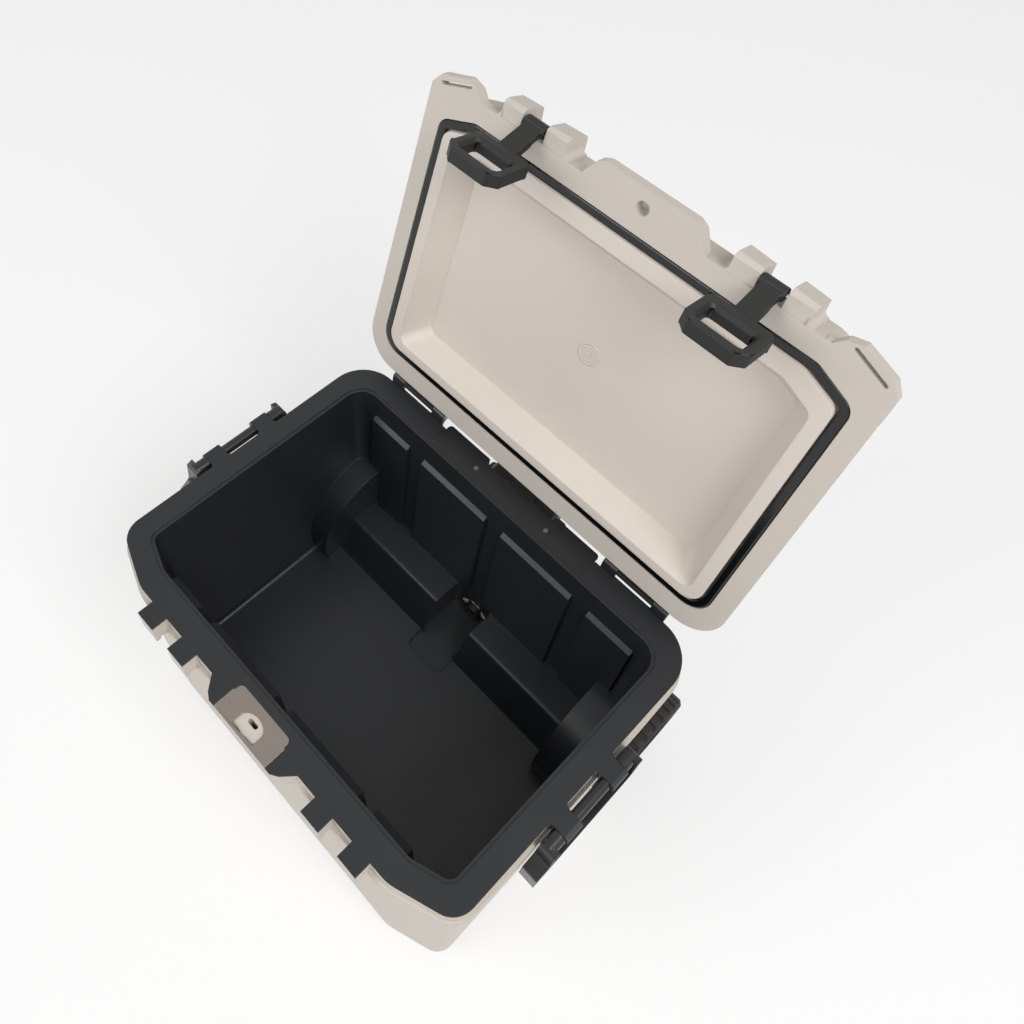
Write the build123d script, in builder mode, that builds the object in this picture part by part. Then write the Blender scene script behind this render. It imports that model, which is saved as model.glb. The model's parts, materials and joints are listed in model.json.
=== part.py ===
import os
from math import cos, radians, sin

from build123d import *

os.makedirs("parts", exist_ok=True)

# A rolling ice chest with its lid open, in millimetres and degrees.
# The ground is Z = 0. The front, with the latches, faces -Y and the hinges and pull handle are at +Y.
# Depth is measured from the middle of the rim and height from the rim's top face, up being positive.
RIM_Z = 400.0
BODY_Y = -74.5
HALF_LENGTH = 330.0
RIM_FRONT = -238.8
RIM_BACK = 238.9
CORNER_CUT_X = 244.0
CORNER_CUT_Y = -209.0
RIM_RADII = [56, 56, 34, 58, 58, 34]
DECK = 3.0
WALL = 3.0

# Tub
BAND = 26.0
BULGE = 4.5
TUB_BOTTOM = -388.0
TUB_TAPER = 1.6
REAR_UNDERSIDE = -316.0
STEP_FOOT = 110.0
STEP_HEAD = 150.0
DRAIN_BOX_HALF = 60.0
DRAIN_BOX_BACK = 195.0

# Drain
DRAIN_H = -338.0
DRAIN_R = 10.5
DRAIN_LIP = 10.0

# Inner tub
OPEN_HALF = 294.6
OPEN_FRONT = -201.8
OPEN_BACK = 200.7
OPEN_CUT_X = 243.0
OPEN_CUT_Y = -184.5
OPEN_RADII = [30, 30, 14, 30, 30, 14]
DEPTH = 346.6
DRAFT = 2.86
LEDGE = 5.0
LEDGE_DEEP = 2.2
WELL_Y = 184.0
WELL_R = 121.0
WELL_FACE = 241.0
BENCH_TOP = -283.0
BENCH_HEAD = 130.0
BENCH_FOOT = 98.0
SUMP_HALF = 38.0
SUMP_FRONT = 64.0
SUMP_BACK = 187.0
SUMP_FLOOR = -354.0
PAD_PROUD = 6.5
PAD_TOP = -47.0
PAD_BANDS = [(16.5, 151.0), (182.5, 262.0)]
FRONT_PAD_TOP = -18.0
FRONT_PAD_PROUD = 11.0
FRONT_PAD_BANDS = [(13.5, 148.0), (176.0, 236.0)]

# Wheels and axle
WHEEL_Y = 203.0
WHEEL_H = -305.0
WHEEL_R = 95.0
WHEEL_IN = 293.0
WHEEL_OUT = 347.0
ARCH_R = 104.0
ARCH_FACE = 288.0
AXLE_R = 6.0
AXLE_GROOVE = 8.0
RUN_FIT = 0.05

# Latch keepers, padlock tab and lock plate
KEEPERS = [(118.1, 150.0), (184.2, 215.9)]
KEEPER_FRONT = -261.6
KEEPER_DROP = -41.0
BOSS_HALF = 85.1
PLATE_HALF = 51.2
PLATE_BACK = -218.6
PADLOCK_Y = -243.9
PADLOCK_R = 8.8

# Lid, laid out as if closed, then leaned back about the hinge pin
OPEN_ANGLE = 104.7
HINGE_Y = 247.2
HINGE_H = 11.2
LID_GAP = 0.5
LID_BACK = 233.2
LID_TOP = 58.0
LID_TAPER = 8.6
LID_RADII = [56, 56, 34, 57, 57, 34]
GASKET_HALF = 303.0
GASKET_WIDE = 12.3
PANEL_HALF = 289.5
RECESS_FLOOR = 34.0
BOSSES = [(116.5, 150.0), (186.0, 218.0)]

# Latches
LATCH_X = 167.1
LATCH_PIN_Y = -251.0
LATCH_PIN_H = 6.0
LATCH_PIN_R = 3.0
LATCH_LEAN = 25.0
ARM_WIDE = 27.0
HEAD_WIDE = 32.0
ARM_THICK = 12.0
RING_WIDE = 82.0
RING_TALL = 66.0
RING_THICK = 18.0
RING_FACE = -237.4
RING_TOP = -44.2

# Side handles
PIVOT_X = 346.0
PIVOT_H = -10.0
PIVOT_R = 8.0
LUG_BAND = (28.8, 56.4)
LUG_OUT = 359.5

# Hinges and pull handle
HINGE_BAND = (157.7, 268.2)
KNUCKLE = 24.0
BARREL_R = 7.0
HINGE_PIN_R = 2.5
BRACKET_HALF = 148.0
BRACKET_FRONT = 207.7
BRACKET_BACK = 250.0
GRIP_HALF = 62.0
TUBE_X = 46.0
TUBE_Y = 259.0
TUBE_BOTTOM = -300.0
OUTER_R = 10.5
MIDDLE_R = 9.0
INNER_R = 7.5
GRIP_TOP = -12.0
GRIP_FRONT = 244.5
GRIP_DEEP = 31.0

SIDES = {"left": -1, "right": 1}


def level(height):
    """A flat plane at a height from the rim, its middle over the middle of the rim."""
    return Plane(origin=(0, BODY_Y, RIM_Z + height))


def across(x):
    """An upright plane at x, drawn in depth and height."""
    return Plane(origin=(x, BODY_Y, RIM_Z), x_dir=(0, 1, 0), z_dir=(1, 0, 0))


def facing(depth):
    """An upright plane at a depth, drawn in x and height, facing the front."""
    return Plane(origin=(0, BODY_Y + depth, RIM_Z), x_dir=(1, 0, 0), z_dir=(0, -1, 0))


hinge_line = Plane(
    origin=(0, BODY_Y + HINGE_Y, RIM_Z + HINGE_H),
    x_dir=(1, 0, 0),
    z_dir=(0, sin(radians(OPEN_ANGLE)), cos(radians(OPEN_ANGLE))),
)
lid_frame = Plane(
    origin=hinge_line.from_local_coords((0, -HINGE_Y, -HINGE_H)),
    x_dir=hinge_line.x_dir,
    z_dir=hinge_line.z_dir,
)


def lid_level(height):
    """A flat plane of the closed lid, at a height from the rim."""
    return Plane.XY.offset(height)


def lid_across(x):
    """An upright plane of the closed lid at x, drawn in depth and height."""
    return Plane(origin=(x, 0, 0), x_dir=(0, 1, 0), z_dir=(1, 0, 0))


def save_opened(part, name):
    """Lean a piece of the closed lid back about the hinge and write it out."""
    opened = lid_frame.location * part
    opened.label = name
    export_step(opened, f"parts/{name}.step")


def cut_corner_outline(plane, half, front, back, cut_x, cut_y, radii, grow=0.0):
    """A rounded oblong with its two front corners cut off, as a sketch."""
    corners = [
        (-cut_x, front),
        (cut_x, front),
        (half, cut_y),
        (half, back),
        (-half, back),
        (-half, cut_y),
    ]
    with BuildSketch(plane) as outline:
        with BuildLine():
            FilletPolyline(corners, radius=radii, close=True)
        make_face()
        if grow:
            offset(amount=grow)
    return outline.sketch


def rim_outline(plane, grow=0.0):
    return cut_corner_outline(
        plane, HALF_LENGTH, RIM_FRONT, RIM_BACK, CORNER_CUT_X, CORNER_CUT_Y, RIM_RADII, grow
    )


def opening_outline(plane, grow=0.0):
    return cut_corner_outline(
        plane, OPEN_HALF, OPEN_FRONT, OPEN_BACK, OPEN_CUT_X, OPEN_CUT_Y, OPEN_RADII, grow
    )


def lid_outline(plane, grow=0.0):
    return cut_corner_outline(
        plane, HALF_LENGTH, RIM_FRONT, LID_BACK, CORNER_CUT_X, CORNER_CUT_Y, LID_RADII, grow
    )


def boss_outline():
    """The padlock boss at the middle of the front, as corners from left to right."""
    return [
        (-BOSS_HALF, RIM_FRONT + 6),
        (-BOSS_HALF, RIM_FRONT),
        (-70, -256),
        (-60, -262),
        (60, -262),
        (70, -256),
        (BOSS_HALF, RIM_FRONT),
        (BOSS_HALF, RIM_FRONT + 6),
    ]


def tub_form(skin):
    """The tub as a solid, drawn in by skin all round: 0 is its outside, WALL the foam's space."""
    with BuildPart() as form:
        add(rim_outline(level(-DECK), -skin))
        extrude(amount=-(BAND + 6))
        add(rim_outline(level(-BAND - skin), BULGE - skin))
        extrude(amount=TUB_BOTTOM + BAND + 2 * skin, taper=TUB_TAPER)
        fillet(form.faces().sort_by(Axis.Z)[0].edges(), 12 - skin)
        with BuildSketch(across(-HALF_LENGTH - 20)) as step:
            with BuildLine():
                Polyline(
                    (STEP_FOOT, TUB_BOTTOM - 20),
                    (STEP_FOOT, TUB_BOTTOM),
                    (STEP_HEAD, REAR_UNDERSIDE),
                    (RIM_BACK + 40, REAR_UNDERSIDE),
                    (RIM_BACK + 40, TUB_BOTTOM - 20),
                    close=True,
                )
            make_face()
            if skin:
                offset(amount=skin, kind=Kind.INTERSECTION)
        extrude(amount=2 * HALF_LENGTH + 40, mode=Mode.SUBTRACT)
        with BuildSketch(level(TUB_BOTTOM + skin)):
            with Locations((0, (STEP_FOOT - 20 + DRAIN_BOX_BACK - skin) / 2)):
                Rectangle(2 * (DRAIN_BOX_HALF - skin), DRAIN_BOX_BACK - skin - STEP_FOOT + 20)
        extrude(amount=REAR_UNDERSIDE - TUB_BOTTOM + 6)
        with BuildSketch(across(-HALF_LENGTH)):
            with Locations((WHEEL_Y, (TUB_BOTTOM + WHEEL_H + AXLE_GROOVE + skin) / 2)):
                Rectangle(2 * (AXLE_GROOVE + skin), WHEEL_H + AXLE_GROOVE + skin - TUB_BOTTOM)
        extrude(amount=2 * HALF_LENGTH, mode=Mode.SUBTRACT)
        for side in SIDES.values():
            with BuildSketch(across(side * (ARCH_FACE - skin))):
                with Locations((WHEEL_Y, WHEEL_H)):
                    Circle(ARCH_R + skin)
            extrude(amount=side * 80, mode=Mode.SUBTRACT)
    return form.part


# Solid block of the outer tub behind the lock plate's window
with BuildPart() as lock_boss:
    with BuildSketch(level(-DECK)):
        with Locations((0, (RIM_FRONT - BULGE - 1 + PLATE_BACK) / 2)):
            Rectangle(56, PLATE_BACK - RIM_FRONT + BULGE + 1)
    extrude(amount=-44)

# Pale outer tub with the padlock boss and the four latch keepers
with BuildPart() as body_shell:
    add(tub_form(0))
    with BuildSketch(level(-DECK)):
        with BuildLine():
            Polyline(boss_outline(), close=True)
        make_face()
    extrude(amount=-44, taper=4)
    for near, far in KEEPERS:
        for side in SIDES.values():
            with BuildSketch(across(side * near)):
                with BuildLine():
                    Polyline(
                        (RIM_FRONT + 8, -DECK),
                        (KEEPER_FRONT, -DECK),
                        (KEEPER_FRONT, KEEPER_DROP),
                        (KEEPER_FRONT + 5, KEEPER_DROP),
                        (KEEPER_FRONT + 9, KEEPER_DROP + 7),
                        (RIM_FRONT - 6, KEEPER_DROP + 2),
                        (RIM_FRONT - 2, KEEPER_DROP - 6),
                        (RIM_FRONT + 8, KEEPER_DROP - 6),
                        close=True,
                    )
                make_face()
            extrude(amount=side * (far - near))
    add(tub_form(WALL), mode=Mode.SUBTRACT)
    add(lock_boss.part)
    # slot for a padlock's shackle, and the drain's hole in the rear wall
    with BuildSketch(level(-DECK)):
        with Locations((0, PADLOCK_Y + 4.4)):
            SlotOverall(16, 6)
    extrude(amount=-36, mode=Mode.SUBTRACT)
    with BuildSketch(facing(DRAIN_BOX_BACK - WALL - 1)):
        with Locations((0, DRAIN_H)):
            Circle(DRAIN_R + 0.1)
    extrude(amount=-WALL - 2, mode=Mode.SUBTRACT)

body_shell.part.label = "body_shell"
export_step(body_shell.part, "parts/body_shell.step")


def lug_profile():
    """A side lug seen from the front: flat on top and rounded at its outer end."""
    return [
        (HALF_LENGTH - 4, 0),
        (LUG_OUT - 8.5, 0),
        (LUG_OUT - 2.5, -3),
        (LUG_OUT, -9),
        (LUG_OUT - 1.5, -16),
        (LUG_OUT - 9, -21.5),
        (HALF_LENGTH, -21.5),
        (HALF_LENGTH, -DECK),
        (HALF_LENGTH - 4, -DECK),
    ]


def wall_depth(start, height, inward):
    """Depth of a drafted inner wall at a height, inward being the way to the middle."""
    return start + inward * 0.05 * -height


def pad_form(near, far, start, inward, top, proud):
    """One raised pad on the front or back wall of the inner tub."""
    bevel = top - proud
    with BuildPart() as pad:
        with BuildSketch(across(near)):
            with BuildLine():
                Polyline(
                    (wall_depth(start, top, inward) - 4 * inward, top),
                    (wall_depth(start, top, inward), top),
                    (wall_depth(start, bevel, inward) + proud * inward, bevel),
                    (wall_depth(start, -DEPTH, inward) + proud * inward, -DEPTH),
                    (wall_depth(start, -DEPTH, inward) - 8 * inward, -DEPTH),
                    close=True,
                )
            make_face()
        extrude(amount=far - near)
    return pad.part


def well_form(skin):
    """The two humps over the wheels, drawn in by skin."""
    with BuildPart() as well:
        for side in SIDES.values():
            with BuildSketch(across(side * (WELL_FACE + skin))):
                with Locations((WELL_Y, WHEEL_H)):
                    Circle(WELL_R - skin)
            extrude(amount=side * 80)
    return well.part


# Space inside the inner tub
with BuildPart() as cavity:
    add(opening_outline(level(0)))
    extrude(amount=-DEPTH, taper=DRAFT)
    fillet(cavity.faces().sort_by(Axis.Z)[0].edges(), 8)
    for near, far in PAD_BANDS:
        add(pad_form(near, far, OPEN_BACK, -1, PAD_TOP, PAD_PROUD), mode=Mode.SUBTRACT)
        add(pad_form(-far, -near, OPEN_BACK, -1, PAD_TOP, PAD_PROUD), mode=Mode.SUBTRACT)
    for near, far in FRONT_PAD_BANDS:
        add(pad_form(near, far, OPEN_FRONT, 1, FRONT_PAD_TOP, FRONT_PAD_PROUD), mode=Mode.SUBTRACT)
        add(pad_form(-far, -near, OPEN_FRONT, 1, FRONT_PAD_TOP, FRONT_PAD_PROUD), mode=Mode.SUBTRACT)
    with BuildSketch(across(-WELL_FACE - 2)):
        with BuildLine():
            FilletPolyline(
                (BENCH_FOOT, -DEPTH - 10),
                (BENCH_FOOT, -DEPTH),
                (BENCH_HEAD, BENCH_TOP),
                (OPEN_BACK + 10, BENCH_TOP),
                (OPEN_BACK + 10, -DEPTH - 10),
                radius=[0, 0, 9, 0, 0],
                close=True,
            )
        make_face()
    extrude(amount=2 * WELL_FACE + 4, mode=Mode.SUBTRACT)
    add(well_form(0), mode=Mode.SUBTRACT)
    with BuildSketch(level(SUMP_FLOOR)):
        with Locations((0, (SUMP_FRONT + SUMP_BACK) / 2)):
            RectangleRounded(2 * SUMP_HALF, SUMP_BACK - SUMP_FRONT, 14)
    extrude(amount=-DEPTH - SUMP_FLOOR + 4)
    with BuildSketch(level(SUMP_FLOOR)):
        with Locations((0, (BENCH_FOOT + SUMP_BACK) / 2)):
            RectangleRounded(2 * SUMP_HALF, SUMP_BACK - BENCH_FOOT, 14)
    extrude(amount=BENCH_TOP - SUMP_FLOOR + 4)

# The inner tub's outside below its deck, hollowed where the humps, bench and sump leave room
with BuildPart() as liner_block:
    add(opening_outline(level(-1), WALL))
    extrude(amount=-DEPTH - WALL + 1, taper=DRAFT)
    add(well_form(WALL), mode=Mode.SUBTRACT)
    for side in SIDES.values():
        with BuildSketch(across(side * (SUMP_HALF + WALL))):
            with BuildLine():
                Polyline(
                    (BENCH_FOOT + 3.4, -DEPTH - 20),
                    (BENCH_FOOT + 3.4, -DEPTH),
                    (BENCH_HEAD + 3, BENCH_TOP - WALL),
                    (OPEN_BACK + 30, BENCH_TOP - WALL),
                    (OPEN_BACK + 30, -DEPTH - 20),
                    close=True,
                )
            make_face()
        extrude(amount=side * (WELL_FACE - SUMP_HALF), mode=Mode.SUBTRACT)
    with BuildSketch(across(-SUMP_HALF - WALL)):
        with Locations((SUMP_BACK + WALL + 30, BENCH_TOP - WALL - 50)):
            Rectangle(60, 100)
    extrude(amount=2 * (SUMP_HALF + WALL), mode=Mode.SUBTRACT)
    with BuildSketch(level(SUMP_FLOOR - WALL)):
        with Locations((0, (SUMP_FRONT + SUMP_BACK) / 2)):
            Rectangle(2 * (SUMP_HALF + WALL), SUMP_BACK - SUMP_FRONT + 2 * WALL)
    extrude(amount=-DEPTH - SUMP_FLOOR + WALL + 1)

# Sketch of the lock plate and of the handle bracket, used for the pieces and their pockets
lock_plate_corners = [
    (-PLATE_HALF, -261.9),
    (PLATE_HALF, -261.9),
    (PLATE_HALF, -231),
    (PLATE_HALF - 2.5, -229),
    (PLATE_HALF - 2.5, PLATE_BACK),
    (-PLATE_HALF + 2.5, PLATE_BACK),
    (-PLATE_HALF + 2.5, -229),
    (-PLATE_HALF, -231),
]


def lock_plate_outline(plane, grow=0.0):
    with BuildSketch(plane) as outline:
        with BuildLine():
            FilletPolyline(lock_plate_corners, radius=[0, 0, 1, 1, 7, 7, 1, 1], close=True)
        make_face()
        if grow:
            offset(amount=grow)
    return outline.sketch


def bracket_outline(plane, grow=0.0):
    """The handle bracket seen from above, with a bay in its back edge for the grip."""
    bay = GRIP_HALF + 3
    corners = [
        (-BRACKET_HALF, BRACKET_FRONT),
        (BRACKET_HALF, BRACKET_FRONT),
        (BRACKET_HALF, BRACKET_BACK),
        (bay, BRACKET_BACK),
        (bay, 241.5),
        (-bay, 241.5),
        (-bay, BRACKET_BACK),
        (-BRACKET_HALF, BRACKET_BACK),
    ]
    with BuildSketch(plane) as outline:
        with BuildLine():
            FilletPolyline(corners, radius=[9, 9, 6, 2, 3, 3, 2, 6], close=True)
        make_face()
        if grow:
            offset(amount=grow)
    return outline.sketch


# Dark inner tub: rim deck, side lugs and walls in one moulding
with BuildPart() as liner:
    add(rim_outline(level(0)))
    with BuildSketch(level(0)):
        with BuildLine():
            Polyline(boss_outline(), close=True)
        make_face()
    for near, far in KEEPERS:
        for side in SIDES.values():
            with BuildSketch(level(0)):
                with Locations((side * (near + far) / 2, (RIM_FRONT + KEEPER_FRONT) / 2 + 2)):
                    Rectangle(far - near, RIM_FRONT - KEEPER_FRONT + 4)
    extrude(amount=-DECK)
    for side in SIDES.values():
        for start in (LUG_BAND[0], -LUG_BAND[1]):
            with BuildSketch(facing(start)) as lug:
                with BuildLine():
                    Polyline([(side * x, h) for x, h in lug_profile()], close=True)
                make_face()
            extrude(amount=-(LUG_BAND[1] - LUG_BAND[0]))
            # soft corners where the lug leaves the rim
            end = start + LUG_BAND[1] - LUG_BAND[0]
            with BuildSketch(level(0)):
                with Locations((side * (HALF_LENGTH + 2.5), (start + end) / 2)):
                    Rectangle(5, end - start + 10)
                with Locations((side * (HALF_LENGTH + 5), start - 5), (side * (HALF_LENGTH + 5), end + 5)):
                    Circle(5, mode=Mode.SUBTRACT)
            extrude(amount=-16)
    with BuildSketch(facing(-100)):
        with Locations((-PIVOT_X, PIVOT_H), (PIVOT_X, PIVOT_H)):
            Circle(PIVOT_R + RUN_FIT)
    extrude(amount=-200, mode=Mode.SUBTRACT)
    add(liner_block.part)
    add(cavity.part, mode=Mode.SUBTRACT)
    add(opening_outline(level(0), LEDGE))
    extrude(amount=-LEDGE_DEEP, mode=Mode.SUBTRACT)
    add(lock_plate_outline(level(0), 0.4))
    extrude(amount=-DECK, mode=Mode.SUBTRACT)
    add(bracket_outline(level(0), 0.8))
    extrude(amount=-DECK, mode=Mode.SUBTRACT)
    # drain hole through the back of the sump
    with BuildSketch(facing(SUMP_BACK - 4)):
        with Locations((0, DRAIN_H)):
            Circle(DRAIN_R + 0.1)
    extrude(amount=-12, mode=Mode.SUBTRACT)

liner.part.label = "liner"
export_step(liner.part, "parts/liner.step")

# Drain: a threaded spout through the foam and the tub's wall, closed by a cap behind
with BuildPart() as drain_fitting:
    with BuildSketch(facing(SUMP_BACK - DRAIN_LIP)):
        with Locations((0, DRAIN_H)):
            Circle(15)
            Circle(8, mode=Mode.SUBTRACT)
    extrude(amount=-DRAIN_LIP)
    with BuildSketch(facing(SUMP_BACK)):
        with Locations((0, DRAIN_H)):
            Circle(DRAIN_R)
            Circle(8, mode=Mode.SUBTRACT)
    extrude(amount=-22)
    with BuildSketch(facing(DRAIN_BOX_BACK)):
        with Locations((0, DRAIN_H)):
            Circle(16)
            Circle(8, mode=Mode.SUBTRACT)
    extrude(amount=-2.5)

drain_fitting.part.label = "drain_fitting"
export_step(drain_fitting.part, "parts/drain_fitting.step")

with BuildPart() as drain_washer:
    with BuildSketch(facing(DRAIN_BOX_BACK + 2.5)):
        with Locations((0, DRAIN_H)):
            Circle(15)
            Circle(DRAIN_R + 0.4, mode=Mode.SUBTRACT)
    extrude(amount=-2)

drain_washer.part.label = "drain_washer"
export_step(drain_washer.part, "parts/drain_washer.step")

with BuildPart() as drain_cap:
    with BuildSketch(facing(DRAIN_BOX_BACK + 5)):
        with Locations((0, DRAIN_H)):
            RegularPolygon(17, 12)
    extrude(amount=-20)
    with BuildSketch(facing(DRAIN_BOX_BACK + 5)):
        with Locations((0, DRAIN_H)):
            Circle(DRAIN_R + RUN_FIT)
    extrude(amount=-14.5, mode=Mode.SUBTRACT)

drain_cap.part.label = "drain_cap"
export_step(drain_cap.part, "parts/drain_cap.step")

# Foam between the tubs, with room for the drain
with BuildPart() as body_insulation:
    add(tub_form(WALL))
    with BuildSketch(facing(SUMP_BACK)):
        with Locations((0, DRAIN_H)):
            Rectangle(2 * DRAIN_R + 8, 2 * DRAIN_R + 5)
    extrude(amount=-10, mode=Mode.SUBTRACT)
    add(opening_outline(level(0), WALL))
    extrude(amount=-DECK, mode=Mode.SUBTRACT)
    add(liner_block.part, mode=Mode.SUBTRACT)
    add(cavity.part, mode=Mode.SUBTRACT)
    add(lock_boss.part, mode=Mode.SUBTRACT)

body_insulation.part.label = "body_insulation"
export_step(body_insulation.part, "parts/body_insulation.step")

# Stainless lock plate with a D-shaped window and two screws
with BuildPart() as lock_plate:
    add(lock_plate_outline(level(-0.3)))
    extrude(amount=-(DECK - 0.3))
    with BuildSketch(level(0)):
        with Locations((0.5, PADLOCK_Y - 6)):
            Rectangle(40, 12)
        with Locations((0.5, PADLOCK_Y)):
            Ellipse(20, 13)
    extrude(amount=-DECK, mode=Mode.SUBTRACT)

lock_plate.part.label = "lock_plate"
export_step(lock_plate.part, "parts/lock_plate.step")


def screw_heads(plane, places, head_r, proud):
    """Round screw heads with a cross recess, standing on a plane."""
    with BuildPart() as screws:
        with BuildSketch(plane):
            with Locations(places):
                Circle(head_r)
        extrude(amount=proud)
        tops = screws.faces().group_by(Axis(plane.origin, plane.z_dir))[-1]
        chamfer(tops.edges(), proud / 3)
        with BuildSketch(plane.offset(proud)):
            with Locations(places):
                Rectangle(head_r * 1.1, head_r * 0.24)
                Rectangle(head_r * 0.24, head_r * 1.1)
        extrude(amount=-proud * 0.6, mode=Mode.SUBTRACT)
    return screws.part


lock_plate_screws = screw_heads(level(-0.3), [(-43.4, -247.1), (43.4, -247.1)], 4.2, 0.6)
lock_plate_screws.label = "lock_plate_screws"
export_step(lock_plate_screws, "parts/lock_plate_screws.step")

# Rubber feet under the front
for name, side in SIDES.items():
    with BuildPart() as foot:
        with BuildSketch(level(TUB_BOTTOM)):
            with Locations((side * 240, -178)):
                RectangleRounded(90, 34, 10)
        extrude(amount=-(RIM_Z + TUB_BOTTOM))
        chamfer(foot.faces().sort_by(Axis.Z)[0].edges(), 2)
    foot.part.label = f"front_foot_{name}"
    export_step(foot.part, f"parts/front_foot_{name}.step")

# Axle, the saddles that hold it up in its groove, and the push nuts on its ends
with BuildPart() as axle:
    with BuildSketch(across(-WHEEL_OUT + 6)):
        with Locations((WHEEL_Y, WHEEL_H)):
            Circle(AXLE_R)
    extrude(amount=2 * (WHEEL_OUT - 6))

axle.part.label = "axle"
export_step(axle.part, "parts/axle.step")

SADDLES = (-200, -90, 90, 200)
with BuildPart() as axle_saddles:
    for x in SADDLES:
        with BuildSketch(across(x - 12)):
            with Locations((WHEEL_Y, REAR_UNDERSIDE - 1.5)):
                Rectangle(52, 3)
            with Locations((WHEEL_Y, (WHEEL_H - AXLE_R + REAR_UNDERSIDE) / 2 - 0.5)):
                Rectangle(2 * AXLE_GROOVE - 1, WHEEL_H - AXLE_R - REAR_UNDERSIDE + 1)
            with Locations((WHEEL_Y, WHEEL_H)):
                Circle(AXLE_R, mode=Mode.SUBTRACT)
        extrude(amount=24)

axle_saddles.part.label = "axle_saddles"
export_step(axle_saddles.part, "parts/axle_saddles.step")

saddle_screw_places = [(x, WHEEL_Y + dy) for x in SADDLES for dy in (-19, 19)]
under_saddle = Plane(origin=(0, BODY_Y, RIM_Z + REAR_UNDERSIDE - 3), x_dir=(1, 0, 0), z_dir=(0, 0, -1))
axle_saddle_screws = screw_heads(under_saddle, [(x, -y) for x, y in saddle_screw_places], 4, 2)
axle_saddle_screws.label = "axle_saddle_screws"
export_step(axle_saddle_screws, "parts/axle_saddle_screws.step")

with BuildPart() as axle_nuts:
    for side in SIDES.values():
        with BuildSketch(across(side * (WHEEL_OUT - 12))):
            with Locations((WHEEL_Y, WHEEL_H)):
                Circle(11)
                Circle(AXLE_R, mode=Mode.SUBTRACT)
        extrude(amount=side * 3)

axle_nuts.part.label = "axle_nuts"
export_step(axle_nuts.part, "parts/axle_nuts.step")

# Wheels: a moulded hub turning on the axle, a ribbed tyre and a cap over the nut
HUB_R = 68.0
TREADS = 30
for name, side in SIDES.items():
    with BuildPart() as hub:
        with BuildSketch(across(side * WHEEL_IN)):
            with Locations((WHEEL_Y, WHEEL_H)):
                Circle(HUB_R)
                Circle(HUB_R - 6, mode=Mode.SUBTRACT)
        extrude(amount=side * (WHEEL_OUT - WHEEL_IN - 4))
        with BuildSketch(across(side * (WHEEL_IN + 18))):
            with Locations((WHEEL_Y, WHEEL_H)):
                Circle(HUB_R - 5)
        extrude(amount=side * 6)
        with BuildSketch(across(side * (WHEEL_IN - 2))):
            with Locations((WHEEL_Y, WHEEL_H)):
                Circle(16)
        extrude(amount=side * (WHEEL_OUT - WHEEL_IN - 11))
        with BuildSketch(across(side * WHEEL_IN)):
            with Locations((WHEEL_Y, WHEEL_H)):
                with PolarLocations(38, 8):
                    Rectangle(54, 5)
        extrude(amount=side * 44)
        with BuildSketch(across(side * (WHEEL_IN - 10))):
            with Locations((WHEEL_Y, WHEEL_H)):
                Circle(AXLE_R + RUN_FIT)
        extrude(amount=side * 80, mode=Mode.SUBTRACT)
        with BuildSketch(across(side * (WHEEL_OUT - 13))):
            with Locations((WHEEL_Y, WHEEL_H)):
                Circle(14)
        extrude(amount=side * 20, mode=Mode.SUBTRACT)
    hub.part.label = f"wheel_hub_{name}"
    export_step(hub.part, f"parts/wheel_hub_{name}.step")
    with BuildPart() as tyre:
        with BuildSketch(across(side * WHEEL_IN)):
            with Locations((WHEEL_Y, WHEEL_H)):
                Circle(WHEEL_R)
                Circle(HUB_R, mode=Mode.SUBTRACT)
        extrude(amount=side * (WHEEL_OUT - WHEEL_IN))
        chamfer(tyre.edges().filter_by(GeomType.CIRCLE).group_by(SortBy.RADIUS)[-1], 6)
        for bank in (4, 30):
            with BuildSketch(across(side * (WHEEL_IN + bank))):
                with Locations((WHEEL_Y, WHEEL_H)):
                    with PolarLocations(WHEEL_R, TREADS, start_angle=bank):
                        Rectangle(6, 6)
            extrude(amount=side * 20, mode=Mode.SUBTRACT)
    tyre.part.label = f"tyre_{name}"
    export_step(tyre.part, f"parts/tyre_{name}.step")
    with BuildPart() as cap:
        with BuildSketch(across(side * (WHEEL_OUT - 8.5))):
            with Locations((WHEEL_Y, WHEEL_H)):
                Circle(13.9)
        extrude(amount=side * 5)
        chamfer(cap.faces().sort_by(Axis.X)[-1 if side > 0 else 0].edges(), 1.5)
        with BuildSketch(across(side * (WHEEL_OUT - 9))):
            with Locations((WHEEL_Y, WHEEL_H)):
                Circle(AXLE_R + 1)
        extrude(amount=side * 3.2, mode=Mode.SUBTRACT)
    cap.part.label = f"wheel_cap_{name}"
    export_step(cap.part, f"parts/wheel_cap_{name}.step")

# Bracket plate let into the rear rim, with the two sockets that hold the handle's outer tubes
with BuildPart() as handle_plate:
    add(bracket_outline(level(-0.4)))
    extrude(amount=-(DECK - 0.4))
    for side in SIDES.values():
        with BuildSketch(level(-DECK)):
            with Locations((side * 106.5, (RIM_BACK + BRACKET_BACK) / 2 + 0.1)):
                Rectangle(77, BRACKET_BACK - RIM_BACK - 0.2)
        extrude(amount=-14)
    with BuildSketch(level(-42)):
        with Locations((0, (RIM_BACK + 5 + 273) / 2)):
            RectangleRounded(150, 273 - RIM_BACK - 5, 5)
    extrude(amount=-34)
    with BuildSketch(level(-DECK)):
        for side in SIDES.values():
            with Locations((side * 70.5, 247)):
                Rectangle(9, 6)
    extrude(amount=-60)
    with BuildSketch(level(-30)):
        with Locations((-TUBE_X, TUBE_Y), (TUBE_X, TUBE_Y)):
            Circle(OUTER_R)
    extrude(amount=-60, mode=Mode.SUBTRACT)

handle_plate.part.label = "handle_plate"
export_step(handle_plate.part, "parts/handle_plate.step")

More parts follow.
